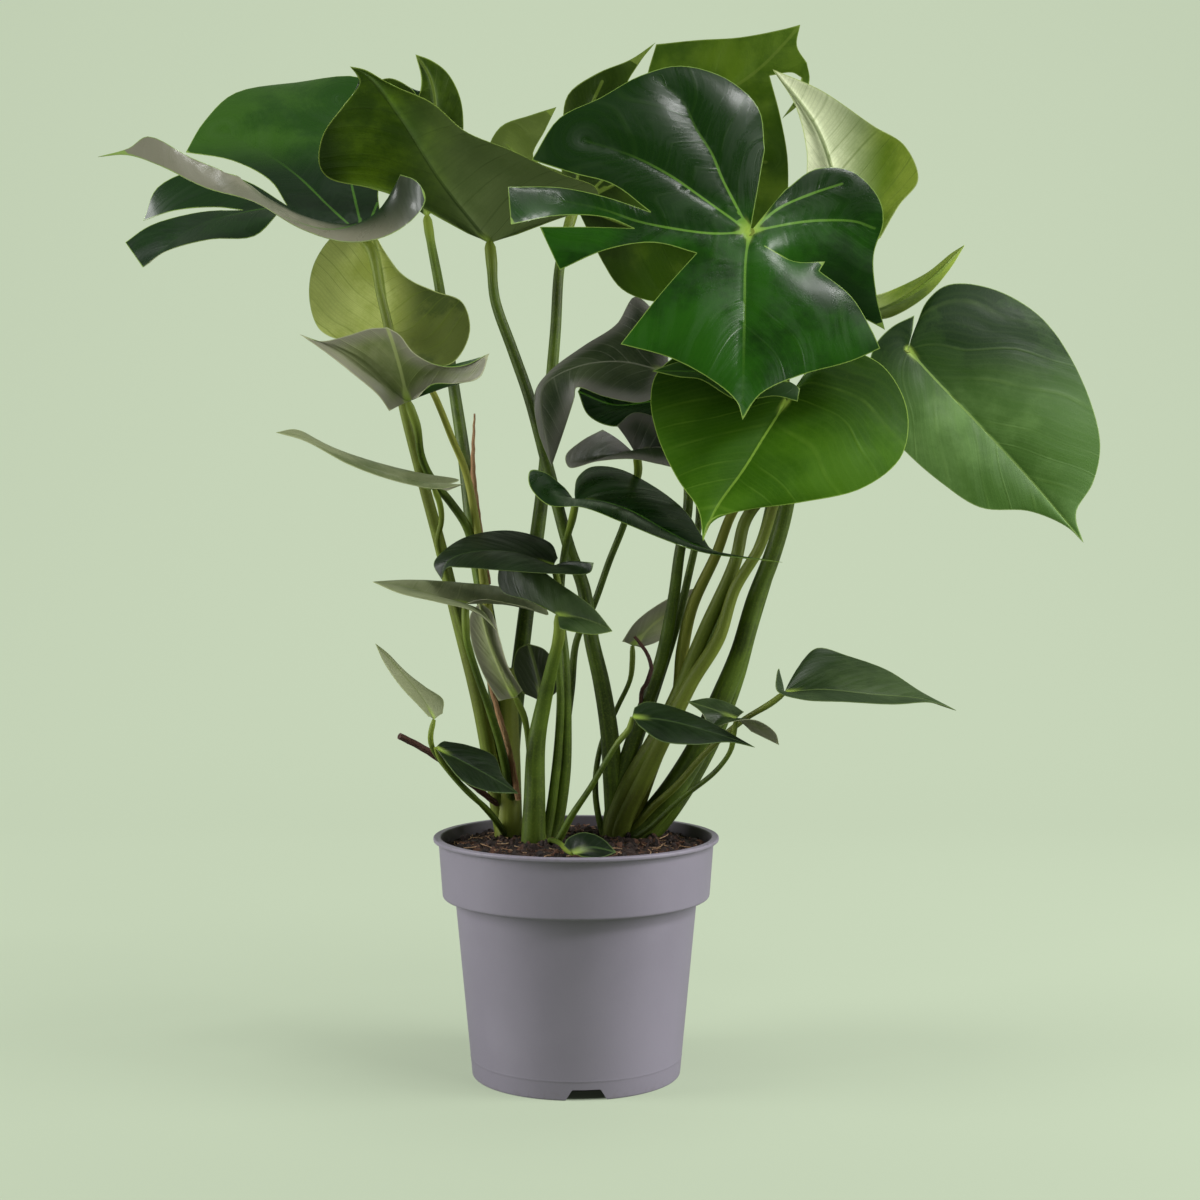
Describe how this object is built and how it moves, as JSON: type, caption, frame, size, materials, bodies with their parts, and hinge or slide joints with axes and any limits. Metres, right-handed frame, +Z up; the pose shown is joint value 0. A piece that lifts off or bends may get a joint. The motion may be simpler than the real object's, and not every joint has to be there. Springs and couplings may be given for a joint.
{
  "type": "potted swiss cheese plant",
  "caption": "Swiss cheese plant with large glossy leaves, some split into strips, on long stalks that grow from the soil of a tapered grey nursery pot.",
  "frame": {"origin": "middle of the pot's underside, on the surface that the pot stands on", "axes": "+Z up, -Y towards the plant's front, which its largest leaves face, +X to the right seen from the front"},
  "size_m": [0.8012, 0.3168, 0.8851],
  "materials": {
    "pot": "plain moulded grey plastic with a soft sheen",
    "soil": "loose potting mix of peat, fibres and bark chips",
    "stalk": "smooth waxy green stalks, paler near the soil",
    "leaf": "waxy, glossy dark green above and matte olive green below",
    "root": "dull brown aerial root",
    "sheath": "dry papery leaf sheath"
  },
  "bodies": {
    "root": {"leaf_front_main": "leaf", "leaf_front_low": "leaf", "leaf_front_between": "leaf", "leaf_right_low": "leaf", "leaf_new_rolled": "leaf", "leaf_back_large": "leaf", "leaf_back_pale": "leaf", "leaf_left_upright": "leaf", "leaf_far_left": "leaf", "leaf_back_left": "leaf", "leaf_left_pale": "leaf", "leaf_left_cupped": "leaf", "leaf_left_narrow": "leaf", "leaf_mid_dark_left": "leaf", "leaf_mid_left_long": "leaf", "leaf_mid_front": "leaf", "leaf_hanging_pale": "leaf", "leaf_low_left_curl": "leaf", "leaf_low_left_folded": "leaf", "leaf_centre_heart": "leaf", "leaf_mid_grey": "leaf", "leaf_mid_black": "leaf", "leaf_behind_main": "leaf", "leaf_small_behind": "leaf", "leaf_low_right_dark": "leaf", "leaf_low_right_small": "leaf", "leaf_low_right_long": "leaf", "leaf_rim_front": "leaf", "leaf_behind_stems": "leaf", "stems_left": "stalk", "stems_centre": "stalk", "stems_right": "stalk", "root_right": "root", "root_left": "root", "sheath_spike": "sheath", "sheath_papery": "sheath", "soil": "soil", "pot": "pot"}
  },
  "joints": []
}
